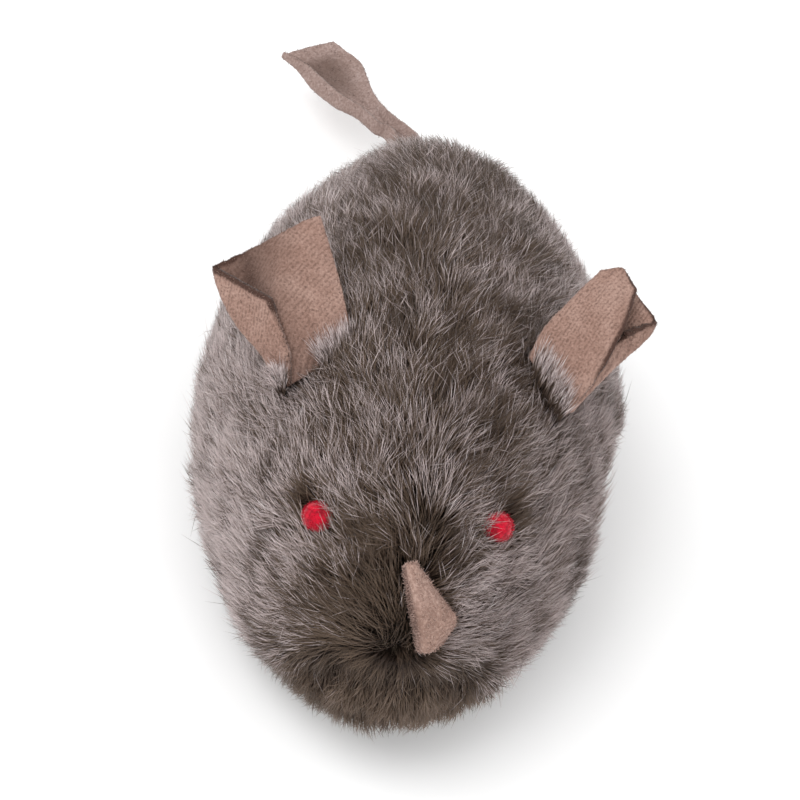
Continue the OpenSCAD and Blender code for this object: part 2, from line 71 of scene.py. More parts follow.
def placeCamera():
    azimuth, elevation, roll = (math.radians(view[k]) for k in ("azimuth", "elevation", "roll"))
    back = Vector((math.sin(azimuth) * math.cos(elevation), -math.cos(azimuth) * math.cos(elevation),
                   math.sin(elevation)))
    right = Vector((math.cos(azimuth), math.sin(azimuth), 0))
    up = back.cross(right)
    turnedRight = right * math.cos(roll) + up * math.sin(roll)
    turnedUp = up * math.cos(roll) - right * math.sin(roll)
    data = bpy.data.cameras.new("camera")
    camera = bpy.data.objects.new("camera", data)
    bpy.context.scene.collection.objects.link(camera)
    place = Vector((0, 0, view["aimHeight"])) * mm + back * view["distance"] * mm
    turn = Matrix((turnedRight, turnedUp, back)).transposed()
    camera.matrix_world = Matrix.Translation(place) @ turn.to_4x4()
    data.sensor_width, data.lens = view["sensor"], view["lens"]
    data.shift_x, data.shift_y = view["shiftX"], view["shiftY"]
    data.clip_start, data.clip_end = 0.01, 20
    bpy.context.scene.camera = camera


placeCamera()
print("camera placed")

# the stuffed body, the same rounded form as the plush covers
body = {
    "halfWidth": high("fur_cover_left")[0],
    "nose": low("chin_panel")[1],
    "rump": high("fur_cover_right")[1],
    "height": high("fur_cover_right")[2],
    "hem": low("fur_cover_left")[2],
    "widestZ": 14.5,
    "widestY": 3.5,
    "peakY": -4.0,
    "floorGap": 0.5,
    "seamX": 1.5,
    "mouthY": -42.0,
    "mouthZ": 26.0,
    "mouthSlope": 47.0,
}


def taper(t, n, m):
    return np.power(np.maximum(1e-9, 1 - np.power(np.minimum(1.0, np.abs(t)), n)), 1 / m)


def bodyPoint(v, angle, inset=0.0):
    # v runs from the nose at -1 to the rump at 1, angle goes round from the left side
    u = np.sin(np.pi / 2 * v)
    front = body["widestY"] - body["nose"] - inset
    rear = body["rump"] - body["widestY"] - inset
    y = body["widestY"] + np.where(u < 0, front, rear) * u
    wide = (body["halfWidth"] - inset) * taper(u, 1.85, 1.75)
    frontSpan = front - body["widestY"] + body["peakY"]
    rearSpan = rear + body["widestY"] - body["peakY"]
    reach = np.where(y < body["peakY"], (body["peakY"] - y) / frontSpan, (y - body["peakY"]) / rearSpan)
    rise = (body["height"] - inset - body["widestZ"]) * taper(reach, 2.2, 2.9)
    drop = (body["widestZ"] - body["floorGap"]) * taper(u, 3, 2)
    c, s = np.cos(angle), np.sin(angle)
    x = np.where(s >= 0, wide * c, wide * np.sign(c) * np.abs(c) ** (2 / 3))
    z = body["widestZ"] + np.where(s >= 0, rise * s, -drop * np.abs(s) ** (2 / 3))
    return np.stack([x, y, z], -1)


def overMouth(p):
    # distance above the mouth seam, below 0 on the chin
    slope = math.tan(math.radians(body["mouthSlope"]))
    return ((p[..., 2] - body["mouthZ"]) + slope * (p[..., 1] - body["mouthY"])) / math.hypot(1, slope)


def unit(v):
    return v / np.maximum(1e-9, np.linalg.norm(v, axis=-1, keepdims=True))


def bump01(x, start, end):
    # smooth step from 0 at start to 1 at end
    t = np.clip((x - start) / (end - start), 0, 1)
    return t * t * (3 - 2 * t)


def drift(p, seed):
    # smooth noise from -1 to 1 on whole-number corners
    i = np.floor(p).astype(np.int64)
    f = p - i
    f = f * f * (3 - 2 * f)
    total = 0
    for corner in np.ndindex(2, 2, 2):
        n = (i[..., 0] + corner[0]) * 73856093 ^ (i[..., 1] + corner[1]) * 19349663
        n = n ^ (i[..., 2] + corner[2]) * 83492791 ^ seed * 2654435761
        n = (n ^ (n >> 13)) * 1274126177
        share = 1.0
        for k in range(3):
            share = share * (f[..., k] if corner[k] else 1 - f[..., k])
        total = total + share * ((n ^ (n >> 16)) & 0xFFFFFF) / 0xFFFFFF
    return total * 2 - 1


# shader maths on sockets
class Wire:
    def __init__(self, shader, socket):
        self.shader, self.socket = shader, socket

    def join(self, operation, first, second):
        return self.shader.node("ShaderNodeMath", {"operation": operation}, {0: first, 1: second})

    def __add__(self, other):
        return self.join("ADD", self, other)

    def __radd__(self, other):
        return self.join("ADD", other, self)

    def __sub__(self, other):
        return self.join("SUBTRACT", self, other)

    def __rsub__(self, other):
        return self.join("SUBTRACT", other, self)

    def __mul__(self, other):
        return self.join("MULTIPLY", self, other)

    def __rmul__(self, other):
        return self.join("MULTIPLY", other, self)


class Shader:
    def __init__(self, name):
        self.material = bpy.data.materials.new(name)
        self.material.use_nodes = True
        self.tree = self.material.node_tree
        self.tree.nodes.clear()
        output = self.tree.nodes.new("ShaderNodeOutputMaterial")
        self.surface = self.tree.nodes.new("ShaderNodeBsdfPrincipled")
        self.tree.links.new(self.surface.outputs[0], output.inputs[0])

    def put(self, socket, value):
        if isinstance(value, Wire):
            self.tree.links.new(value.socket, socket)
        elif isinstance(value, tuple) and len(socket.default_value) == len(value) + 1:
            socket.default_value = value + (1.0,)
        else:
            socket.default_value = value

    def node(self, kind, settings, sockets, output=0):
        made = self.tree.nodes.new(kind)
        for key, value in settings.items():
            setattr(made, key, value)
        for key, value in sockets.items():
            self.put(made.inputs[key], value)
        return Wire(self, made.outputs[output])

    def finish(self, **sockets):
        for key, value in sockets.items():
            self.put(self.surface.inputs[key.replace("_", " ")], value)
        return self.material

    def attribute(self, name):
        return self.node("ShaderNodeAttribute", {"attribute_name": name}, {}, 2)

    def place(self):
        return self.node("ShaderNodeTexCoord", {}, {}, 3)

    def shifted(self, centre):
        return self.node("ShaderNodeVectorMath", {"operation": "SUBTRACT"}, {0: self.place(), 1: centre})

    def stretched(self, scale):
        return self.node("ShaderNodeVectorMath", {"operation": "MULTIPLY"}, {0: self.place(), 1: scale})

    def noise(self, scale, detail=2.0, where=None):
        sockets = {"Vector": where or self.place(), "Scale": scale, "Detail": detail}
        return self.node("ShaderNodeTexNoise", {}, sockets)

    def wave(self, scale, where, direction="X", distortion=0.0, kind="BANDS"):
        names = {"wave_type": kind, "bands_direction": direction}
        if kind == "RINGS":
            names = {"wave_type": kind, "rings_direction": direction}
        sockets = {"Vector": where, "Scale": scale, "Distortion": distortion}
        return self.node("ShaderNodeTexWave", names, sockets)

    def mix(self, first, second, share):
        return self.node("ShaderNodeMix", {"data_type": "RGBA"}, {0: share, 6: first, 7: second}, 2)

    def ease(self, value, start, end):
        settings = {"interpolation_type": "SMOOTHSTEP"}
        return self.node("ShaderNodeMapRange", settings, {0: value, 1: start, 2: end})

    def bump(self, height, strength, depth):
        return self.node("ShaderNodeBump", {}, {"Height": height, "Strength": strength, "Distance": depth})


def addMesh(name, points, faces, material, marks=None, smooth=True):
    mesh = bpy.data.meshes.new(name)
    points = np.asarray(points, np.float32)
    faces = np.asarray(faces, np.int32)
    sides = faces.shape[1]
    mesh.vertices.add(len(points))
    mesh.vertices.foreach_set("co", (points * mm).reshape(-1))
    mesh.loops.add(faces.size)
    mesh.loops.foreach_set("vertex_index", faces.reshape(-1))
    mesh.polygons.add(len(faces))
    mesh.polygons.foreach_set("loop_start", np.arange(len(faces), dtype=np.int32) * sides)
    mesh.update(calc_edges=True)
    mesh.polygons.foreach_set("use_smooth", np.full(len(faces), smooth))
    for key, values in (marks or {}).items():
        mesh.attributes.new(key, "FLOAT", "POINT").data.foreach_set("value", np.asarray(values, np.float32))
    mesh.materials.append(material)
    piece = bpy.data.objects.new(name, mesh)
    bpy.context.scene.collection.objects.link(piece)
    return piece


# suede of the ears and tail, and the softer suede of the nose
# the fold-shade colour of each suede is painted shade, laid into folds and onto the nose's narrow face
suede = {
    "ear": {"lit": (0.28, 0.17, 0.135), "worn": (0.44, 0.295, 0.245), "deep": (0.1, 0.056, 0.042),
            "inside": (0.06, 0.034, 0.027), "cut": (0.068, 0.036, 0.028), "pebble": 3200.0, "ribs": 0.6},
    "tail": {"lit": (0.3, 0.215, 0.19), "worn": (0.4, 0.305, 0.28), "deep": (0.19, 0.125, 0.105),
             "inside": (0.13, 0.085, 0.07), "cut": (0.2, 0.13, 0.11), "pebble": 2600.0, "ribs": 0.15},
    "nose": {"lit": (0.36, 0.235, 0.19), "worn": (0.5, 0.35, 0.3), "deep": (0.2, 0.12, 0.095),
             "inside": (0.12, 0.064, 0.047), "cut": (0.3, 0.19, 0.155), "pebble": 2600.0, "ribs": 0.0},
}


def suedeMaterial(name):
    look = suede[name]
    s = Shader(name + "Suede")
    grain = s.noise(look["pebble"], 3.0)
    fine = s.noise(look["pebble"] * 2.1, 2.0)
    broad = s.noise(230.0, 3.0)
    turned = s.node("ShaderNodeMapping", {}, {"Vector": s.place(), "Rotation": (0.3, 0.2, 0.7)})
    ribs = s.wave(700.0, turned, "X", 1.2) * look["ribs"]
    shade = s.mix(look["lit"], look["worn"], s.ease(broad, 0.4, 0.7) * 0.45 + s.ease(grain, 0.5, 0.7) * 0.4)
    shade = s.mix(shade, look["deep"], s.ease(grain * 0.75 + ribs * 0.25, 0.46, 0.3) * 0.45)
    shade = s.mix(shade, look["deep"], s.ease(fine, 0.5, 0.7) * 0.25)
    # painted shade: spots deep in a fold, and the nose's narrow face, are darkened toward the shade colour
    shade = s.mix(shade, look["inside"], s.attribute("pocket") * 0.8)
    # darker band along cut edges: partly the raw edge's own colour, partly painted shadow along the curled
    # rim and crease
    shade = s.mix(shade, look["cut"], s.ease(s.attribute("rim") + (grain - 0.5) * 0.7, 0.35, 0.75))
    relief = s.bump(grain * 0.7 + ribs * 0.35 + fine * 0.3, 0.7, 0.00025)
    return s.finish(Base_Color=shade, Roughness=0.95, Specular_IOR_Level=0.1, Sheen_Weight=0.15,
                    Sheen_Roughness=0.45, Normal=relief)


def fuzzMaterial(name, root, tip):
    s = Shader(name)
    along = s.attribute("along")
    shade = s.mix(root, tip, along * 0.8 + s.attribute("tone") * 0.2)
    shade = s.mix(shade, root, s.ease(s.noise(700.0), 0.5, 0.75) * 0.4)
    return s.finish(Base_Color=shade, Roughness=0.8, Specular_IOR_Level=0.15)


def spline(points, count):
    # smooth curve through the rows of an array, any shape behind the first axis
    points = np.asarray(points, float)
    ext = np.concatenate([[2 * points[0] - points[1]], points, [2 * points[-1] - points[-2]]])
    t = np.linspace(0, len(points) - 1, count)
    i = np.minimum(t.astype(int), len(points) - 2)
    f = (t - i).reshape((-1,) + (1,) * (points.ndim - 1))
    a, b, c, d = ext[i], ext[i + 1], ext[i + 2], ext[i + 3]
    return 0.5 * (2 * b + (c - a) * f + (2 * a - 5 * b + 4 * c - d) * f ** 2
                  + (3 * b - a - 3 * c + d) * f ** 3)


def evenPath(points, count):
    # the same broken line with its points evenly spaced
    steps = np.linalg.norm(np.diff(points[:, :3], axis=0), axis=1)
    run = np.concatenate([[0], np.cumsum(steps)])
    want = np.linspace(0, run[-1], count)
    return np.stack([np.interp(want, run, points[:, k]) for k in range(points.shape[1])], 1)


def sheetGrid(rows, across, along, soften):
    # rows of fold points from the sewn edge to the free edge, rounded where they fold
    grid = np.stack([evenPath(row, across) for row in spline(rows, along)])
    for _ in range(soften):
        grid[:, 1:-1] = grid[:, 1:-1] * 0.5 + (grid[:, :-2] + grid[:, 2:]) * 0.25
    return grid


sheetSpots = []


def sheetSolid(name, grid, thickness, material, freeRows=(False, True), pebble=0.05, cut=0.8):
    # grid points are x, y, z, how dark the band along the nearest cut edge is painted (partly painted
    # shadow), and how much painted shade the spot takes in a fold
    rows, cols = grid.shape[:2]
    grid, edgeShade, inside = grid[..., :3], grid[..., 3].clip(0, 1), grid[..., 4].clip(0, 1)
    side = unit(np.cross(np.gradient(grid, axis=1), np.gradient(grid, axis=0)))
    if side[..., 2].mean() < 0:
        side = -side
    steps = np.linalg.norm(np.gradient(grid, axis=1), axis=2)
    fromEdge = np.minimum(np.cumsum(steps, 1) - steps, np.cumsum(steps[:, ::-1], 1)[:, ::-1] - steps)
    rowStep = np.linalg.norm(np.gradient(grid, axis=0), axis=2)
    for k, free in enumerate(freeRows):
        if free:
            gap = np.cumsum(rowStep, 0) - rowStep if k == 0 else np.cumsum(rowStep[::-1], 0)[::-1] - rowStep
            fromEdge = np.minimum(fromEdge, gap)
    rim = 1 - np.clip(fromEdge / cut, 0, 1)
    ragged = 0.14 * drift(grid / 0.7, 31)[..., None] * (rim[..., None] > 0.6) * side[..., [1, 2, 0]]
    grid = grid + ragged
    half = thickness / 2 * (1 - 0.2 * rim ** 3)[..., None]
    relief = pebble * (drift(grid / 0.55, 17) + 0.6 * drift(grid / 0.28, 19))[..., None]
    front, back = grid + side * (half + relief), grid - side * (half + relief)
    points = np.concatenate([front.reshape(-1, 3), back.reshape(-1, 3)])
    index = np.arange(rows * cols).reshape(rows, cols)
    quads = np.stack([index[:-1, :-1], index[:-1, 1:], index[1:, 1:], index[1:, :-1]], -1).reshape(-1, 4)
    count = rows * cols
    edge = np.concatenate([index[0, :-1], index[:-1, -1], index[-1, :0:-1], index[:0:-1, 0]])
    follow = np.roll(edge, -1)
    walls = np.stack([edge, edge + count, follow + count, follow], -1)
    faces = np.concatenate([quads[:, ::-1], quads + count, walls[:, ::-1]])
    a, b, c = points[faces[0, 0]], points[faces[0, 1]], points[faces[0, 2]]
    if np.dot(np.cross(b - a, c - a), side.reshape(-1, 3)[0]) < 0:
        faces = faces[:, ::-1]
    # the rim band is partly painted shadow; the fold mark is painted shade, on the front face only
    marks = {"rim": np.tile((rim * edgeShade).reshape(-1), 2),
             "pocket": np.concatenate([inside.reshape(-1), inside.reshape(-1) * 0.0])}
    piece = addMesh(name, points, faces, material, marks)
    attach(piece, "mouse")
    keep = max(1, int(0.04 * rows))
    sheetSpots.append(np.concatenate([front[keep:].reshape(-1, 3), back[keep:].reshape(-1, 3)]))
    size = np.linalg.norm(np.cross(np.diff(grid, axis=1)[:-1], np.diff(grid, axis=0)[:, :-1]), axis=2).sum()
    print(name, "sheet area mm2", round(float(size)))
    return piece, front, back, side, rim


def hairMesh(line, radius, cross, tipShare=0.28):
    # closed three-sided tubes along each hair, ending in a point
    hairs, stations = line.shape[:2]
    rings = stations - 1
    along = unit(np.gradient(line, axis=1))
    a = unit(np.cross(along, cross[:, None, :]))
    b = np.cross(along, a)
    t = np.linspace(0, 1, stations)
    points = np.zeros((hairs, rings * 3 + 1, 3), np.float32)
    for r in range(rings):
        thick = radius * (1 - (1 - tipShare) * t[r] ** 1.6)
        for c in range(3):
            turn = 2 * math.pi * c / 3
            ring = a[:, r] * math.cos(turn) + b[:, r] * math.sin(turn)
            points[:, r * 3 + c] = line[:, r] + ring * thick[:, None]
    points[:, -1] = line[:, -1]
    faces = []
    for r in range(rings - 1):
        for c in range(3):
            i, j = r * 3 + c, r * 3 + (c + 1) % 3
            faces += [(i, j, j + 3), (i, j + 3, i + 3)]
    top = (rings - 1) * 3
    faces += [(top + c, top + (c + 1) % 3, rings * 3) for c in range(3)] + [(2, 1, 0)]
    each = rings * 3 + 1
    faces = (np.array(faces)[None] + np.arange(hairs)[:, None, None] * each).reshape(-1, 3)
    grade = np.tile(np.append(np.repeat(t[:rings], 3), 1.0), hairs)
    return points.reshape(-1, 3), faces, grade, each


def fuzz(name, roots, outward, length, radius, material, seed, spread=0.6):
    random = np.random.default_rng(seed)
    count = len(roots)
    lean = unit(outward + spread * random.normal(size=(count, 3)))
    size = length * random.uniform(0.5, 1.25, count)[:, None]
    bend = unit(lean + 0.7 * random.normal(size=(count, 3)))
    line = np.stack([roots - outward * 0.12, roots + lean * size * 0.55,
                     roots + (lean + bend) * size * 0.5], 1)
    line[..., 2] = np.maximum(line[..., 2], 0.3)
    points, faces, grade, each = hairMesh(line, np.full(count, radius), outward + 0.01)
    marks = {"along": grade, "tone": np.repeat(random.random(count), each)}
    piece = addMesh(name, points, faces, material, marks)
    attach(piece, "mouse")
    return piece


def sheetFuzz(name, made, count, rimCount, length, material, rimMaterial, seed):
    # short nap over both faces, and a darker ragged edge
    _, front, back, side, rim = made
    random = np.random.default_rng(seed)
    flat, spine = front.reshape(-1, 3), side.reshape(-1, 3)
    away = back.reshape(-1, 3)
    pick = random.integers(0, len(flat), count)
    jitter = random.normal(size=(count, 3)) * 0.06
    face = random.random(count) < 0.6
    roots = np.where(face[:, None], flat[pick], away[pick]) + jitter
    outward = np.where(face[:, None], spine[pick], -spine[pick])
    nap = fuzz(name + "_nap", roots, outward, length, 0.035, material, seed + 1, 0.8)
    edge = np.flatnonzero(rim.reshape(-1) > 0.7)
    pick = random.choice(edge, rimCount)
    share = random.random(rimCount)[:, None]
    roots = flat[pick] * share + away[pick] * (1 - share)
    outward = unit(spine[pick] * (share - 0.5) * 2 + 0.6 * random.normal(size=(rimCount, 3)))
    edging = fuzz(name + "_edge", roots, outward, length * 1.1, 0.04, rimMaterial, seed + 2)
    return [nap, edging]


# ears: each row runs across the sheet, x y z with how dark the edge band is painted, partly as painted
# shadow, and how much painted shade a fold takes
ears = {"thickness": 1.0, "across": 130, "along": 84, "soften": 5}
rightEarRows = [  # inner edge, middle, crease, back wall, outer fold, flap's edge against the crease
    [(-8.9, -5.0, 41.4, 0.1, 0), (-12.0, -7.7, 40.4, 0.1, 0), (-15.2, -9.8, 38.9, 0.1, 0),
     (-16.0, -10.1, 38.1, 0.1, 0.5), (-16.7, -10.0, 37.8, 0.1, 0), (-16.0, -10.6, 38.7, 0.1, 0)],
    [(-10.1, -1.9, 44.0, 0.15, 0), (-13.3, -4.8, 43.6, 0.1, 0), (-16.3, -7.7, 42.2, 0.1, 0.3),
     (-18.1, -7.5, 41.2, 0.1, 1), (-20.1, -7.5, 41.2, 0.1, 0), (-16.4, -9.2, 43.0, 0.25, 0)],
    [(-11.4, 1.6, 45.5, 0.15, 0), (-14.4, -1.8, 45.2, 0.1, 0), (-17.6, -5.8, 44.0, 0.1, 0.3),
     (-20.3, -4.6, 42.6, 0.1, 1), (-23.4, -4.7, 42.6, 0.1, 0), (-17.5, -7.5, 44.8, 0.25, 0)],
    [(-13.0, 5.3, 47.0, 0.15, 0), (-16.1, 2.2, 47.0, 0.1, 0), (-18.8, -1.3, 46.3, 0.1, 0.35),
     (-22.4, 0.3, 43.6, 0.1, 1), (-25.8, -1.7, 44.4, 0.4, 0), (-18.6, -5.6, 46.3, 0.5, 0)],
    [(-14.7, 9.1, 48.5, 0.25, 0), (-16.5, 8.0, 48.7, 0.2, 0), (-18.2, 6.5, 48.4, 0.3, 0.3),
     (-23.0, 4.1, 46.4, 0.45, 0.9), (-27.2, 0.9, 46.3, 1.7, 0.6), (-19.4, -4.3, 47.6, 1.7, 0)],
]
leftEarRows = [  # cut edge in front, middle, inner fold, back wall, tip, flap's edge tucked behind
    [(18.7, -10.0, 38.2, 0.1, 0), (16.1, -7.3, 40.0, 0.1, 0), (13.6, -3.8, 41.2, 0.1, 0),
     (16.6, -5.0, 39.2, 0, 1), (19.5, -8.5, 37.6, 0, 0), (18.4, -8.8, 37.8, 0, 0)],
    [(21.1, -8.0, 41.6, 0.3, 0), (17.9, -4.0, 42.8, 0.1, 0), (15.1, -0.5, 43.2, 0.1, 0),
     (19.3, -1.6, 41.2, 0, 1), (22.2, -6.0, 40.4, 0, 0), (20.6, -6.5, 40.7, 0, 0)],
    [(23.1, -4.7, 43.5, 1.0, 0), (19.9, -0.9, 44.5, 0.2, 0), (17.2, 2.2, 44.3, 0.1, 0),
     (22.0, 1.3, 42.2, 0, 1), (25.6, -2.0, 41.7, 0.1, 0.1), (22.8, -3.1, 42.4, 0.3, 0)],
    [(24.9, -0.2, 45.0, 1.4, 0), (22.1, 2.8, 46.0, 0.3, 0), (19.5, 5.1, 45.2, 0.1, 0),
     (23.5, 5.5, 43.0, 0.1, 1), (28.2, 0.9, 42.6, 0.3, 0.2), (24.3, -1.2, 43.6, 0.6, 0)],
    [(26.2, 5.6, 45.6, 1.4, 0), (24.2, 8.4, 46.4, 0.4, 0), (21.8, 7.8, 46.0, 0.2, 0),
     (25.4, 7.8, 44.0, 0.3, 1), (29.2, 3.1, 43.2, 1.0, 0.3), (25.3, -0.4, 44.4, 1.0, 0)],
]
earSuede = suedeMaterial("ear")
earFuzz = fuzzMaterial("earFuzz", (0.24, 0.145, 0.112), (0.4, 0.28, 0.235))
rimFuzz = fuzzMaterial("rimFuzz", (0.07, 0.036, 0.027), (0.22, 0.14, 0.11))
earsMade = []
for node, rows, skin in (("ear_right", rightEarRows, "plush_right"), ("ear_left", leftEarRows, "plush_left")):
    grid = sheetGrid(np.array(rows), ears["across"], ears["along"], ears["soften"])
    made = sheetSolid(node + "_suede", grid, ears["thickness"], earSuede, cut=1.3)
    earsMade.append((made, node))
    trim = sheetFuzz(node, made, 3000, 1500, 0.32, earFuzz, rimFuzz, 40)
    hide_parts(node)
print("ears made")

# tail: front lip, fold, floor and back edge at stations from the root to the cut end
tail = {"thickness": 0.85, "across": 70, "along": 130, "soften": 8}
tailRows = [
    [(-0.9, 39.6, 13.8), (-1.2, 39.2, 12.4), (0.6, 39.4, 12.2), (3.4, 39.0, 13.6)],
    [(-5.3, 57.2, 13.0), (-5.9, 56.4, 11.5), (-3.9, 57.0, 11.4), (-1.4, 56.2, 12.8)],
    [(-8.4, 60.6, 12.3), (-9.1, 60.0, 10.9), (-6.4, 60.9, 10.8), (-3.0, 59.6, 12.3)],
    [(-11.0, 64.0, 11.4), (-11.6, 63.2, 10.0), (-9.2, 64.4, 10.0), (-6.3, 63.2, 11.4)],
    [(-14.6, 67.2, 10.5), (-15.2, 65.9, 9.0), (-12.2, 67.9, 9.0), (-9.1, 67.3, 10.5)],
    [(-17.9, 71.0, 9.7), (-18.8, 69.8, 8.1), (-14.9, 71.6, 8.0), (-11.1, 73.0, 9.6)],
    [(-19.6, 73.2, 9.2), (-20.4, 72.3, 7.8), (-16.0, 73.4, 8.0), (-12.1, 75.2, 9.3)],
    [(-21.2, 74.6, 8.9), (-21.9, 74.0, 7.9), (-18.4, 75.2, 8.4), (-14.2, 77.0, 9.2)],
    [(-23.6, 76.0, 8.7), (-24.0, 75.5, 8.2), (-20.6, 77.3, 8.6), (-16.4, 78.9, 9.0)],
]
tailGrid = sheetGrid(np.array(tailRows), tail["across"], tail["along"], tail["soften"])
alongTail, acrossTail = np.linspace(0, 1, tail["along"])[:, None], np.linspace(0, 1, tail["across"])[None]
# painted shadow laid where the tail's fold is deepest
valleyShade = (bump01(alongTail, 0.42, 0.62) * (1 - bump01(alongTail, 0.82, 0.95))
          * bump01(acrossTail, 0.26, 0.38) * (1 - bump01(acrossTail, 0.6, 0.95)))
tailGrid = np.concatenate([tailGrid, 0.3 + 0 * valleyShade[..., None], valleyShade[..., None]], -1)
tailMade = sheetSolid("tail_suede", tailGrid, tail["thickness"], suedeMaterial("tail"))
tailFuzz = fuzzMaterial("tailFuzz", (0.2, 0.14, 0.12), (0.36, 0.27, 0.24))
tailTrim = sheetFuzz("tail", tailMade, 2400, 1200, 0.3, tailFuzz, tailFuzz, 60)
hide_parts("tail")
print("tail made")

# nose: a small folded wedge of suede, ridge towards the mouse's left
nose = {"thickness": 0.9, "across": 46, "along": 44, "soften": 5}
noseRows = [
    [(0.6, -34.6, 37.4), (0.9, -34.9, 38.5), (1.2, -34.9, 38.4), (1.4, -34.4, 37.6)],
    [(1.3, -36.3, 34.4), (1.9, -36.9, 36.3), (3.0, -36.2, 35.9), (3.8, -35.2, 34.7)],
    [(2.2, -37.9, 31.8), (2.9, -38.8, 33.8), (4.9, -37.6, 33.2), (6.2, -36.2, 31.8)],
    [(3.0, -39.2, 29.5), (3.6, -40.2, 31.6), (5.7, -38.9, 31.2), (7.3, -37.1, 30.5)],
    [(3.6, -39.8, 27.7), (4.1, -41.0, 28.9), (4.8, -40.7, 28.9), (5.5, -39.6, 28.4)],
]
noseGrid = sheetGrid(np.array(noseRows), nose["across"], nose["along"], nose["soften"])
# painted shade on the narrow face next to the ridge, up to about a third across
shaded = 1 - bump01(np.linspace(0, 1, nose["across"]), 0.2, 0.4)[None, :, None] + 0 * noseGrid[..., :1]
noseGrid = np.concatenate([noseGrid, 0.4 + 0 * shaded, shaded], -1)
noseMade = sheetSolid("nose_suede", noseGrid, nose["thickness"], suedeMaterial("nose"), (True, True),
                      cut=0.35)
noseFuzz = fuzzMaterial("noseFuzz", (0.4, 0.25, 0.2), (0.62, 0.46, 0.41))
noseTrim = sheetFuzz("nose", noseMade, 3200, 500, 0.42, noseFuzz, noseFuzz, 80)
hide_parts("nose")
print("nose made")

# eyes: small balls of red felt
eyes = {"size": 0.84, "sunk": 1.0, "squash": 0.9, "lumps": 0.12, "fibres": 1100, "fibreLength": 0.4,
        "rows": 28, "cols": 44}


def feltMaterial():
    s = Shader("eyeFelt")
    mat = s.noise(1500.0, 3.0)
    shade = s.mix((0.56, 0.0, 0.022), (0.26, 0.0, 0.012), s.ease(mat, 0.42, 0.7))
    shade = s.mix(shade, (0.72, 0.03, 0.06), s.ease(s.noise(3300.0), 0.6, 0.8) * 0.4)
    return s.finish(Base_Color=shade, Roughness=0.85, Specular_IOR_Level=0.2, Sheen_Weight=0.3,
                    Normal=s.bump(mat, 0.6, 0.0002))


eyeFelt = feltMaterial()
eyeFuzz = fuzzMaterial("eyeFuzz", (0.42, 0.0, 0.018), (0.66, 0.03, 0.06))


def makeEye(node):
    centre = middle(node)
    radius = (high(node) - low(node))[0] / 2 * eyes["size"]
    deeper = np.array([0, body["widestY"], body["widestZ"]]) - centre
    centre = centre + eyes["sunk"] * unit(deeper)
    rows, cols = eyes["rows"], eyes["cols"]
    polar, turn = np.meshgrid(np.linspace(0.06, np.pi - 0.06, rows), np.arange(cols) / cols * 2 * np.pi,
                              indexing="ij")
    way = np.stack([np.sin(polar) * np.cos(turn), np.sin(polar) * np.sin(turn), np.cos(polar)], -1)
    size = radius * (1 + eyes["lumps"] * 0.4 * drift(way * 2.2 + centre, 51) - 0.03)
    points = way * size[..., None]
    points[..., 2] *= eyes["squash"]
    points = (points + centre).reshape(-1, 3)
    index = np.arange(rows * cols).reshape(rows, cols)
    after = np.roll(index, -1, axis=1)
    faces = np.stack([index[:-1], index[1:], after[1:], after[:-1]], -1).reshape(-1, 4)
    top, bottom = len(points), len(points) + 1
    pole = np.array([0, 0, radius * eyes["squash"]])
    points = np.vstack([points, centre + pole, centre - pole])
    faces = [tuple(f) for f in faces] + [(top, a, b) for a, b in zip(index[0], after[0])]
    faces += [(bottom, b, a) for a, b in zip(index[-1], after[-1])]
    mesh = bpy.data.meshes.new(node + "_felt")
    mesh.from_pydata((points * mm).tolist(), [], faces)
    mesh.polygons.foreach_set("use_smooth", np.full(len(faces), True))
    mesh.materials.append(eyeFelt)
    ball = bpy.data.objects.new(node + "_felt", mesh)
    bpy.context.scene.collection.objects.link(ball)
    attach(ball, "mouse")
    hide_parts(node)
    random = np.random.default_rng(5)
    way = unit(random.normal(size=(eyes["fibres"], 3)))
    roots = centre + way * [radius, radius, radius * eyes["squash"]] * 0.97
    fuzz(node + "_fibres", roots, way, eyes["fibreLength"], 0.035, eyeFuzz, 6)
    return centre, radius


eyeSpots = [makeEye(node) for node in ("eye_left", "eye_right")]
print("eyes made")

# pile of the plush
pile = {
    "count": 135000,
    "depth": 4.0,
    "run": 5.4,
    "radius": 0.056,
    "stations": 4,
    "perPiece": 12000,
    "overEar": 420,
    "tuftGap": 1.9,
    "wispGap": 0.5,
    "coverArea": 9000.0,
    "eyeGap": 0.15,
    "knobGap": 1.0,
    "suedeGap": 0.6,
    "earFoot": (0.06, 0.2),
    "silver": (0.66, 0.555, 0.545),
    "pale": (0.95, 0.87, 0.87),
    "olive": (0.125, 0.083, 0.056),
    "tan": (0.3, 0.215, 0.165),
    "umber": (0.045, 0.027, 0.019),
    "root": (0.016, 0.01, 0.007),
}


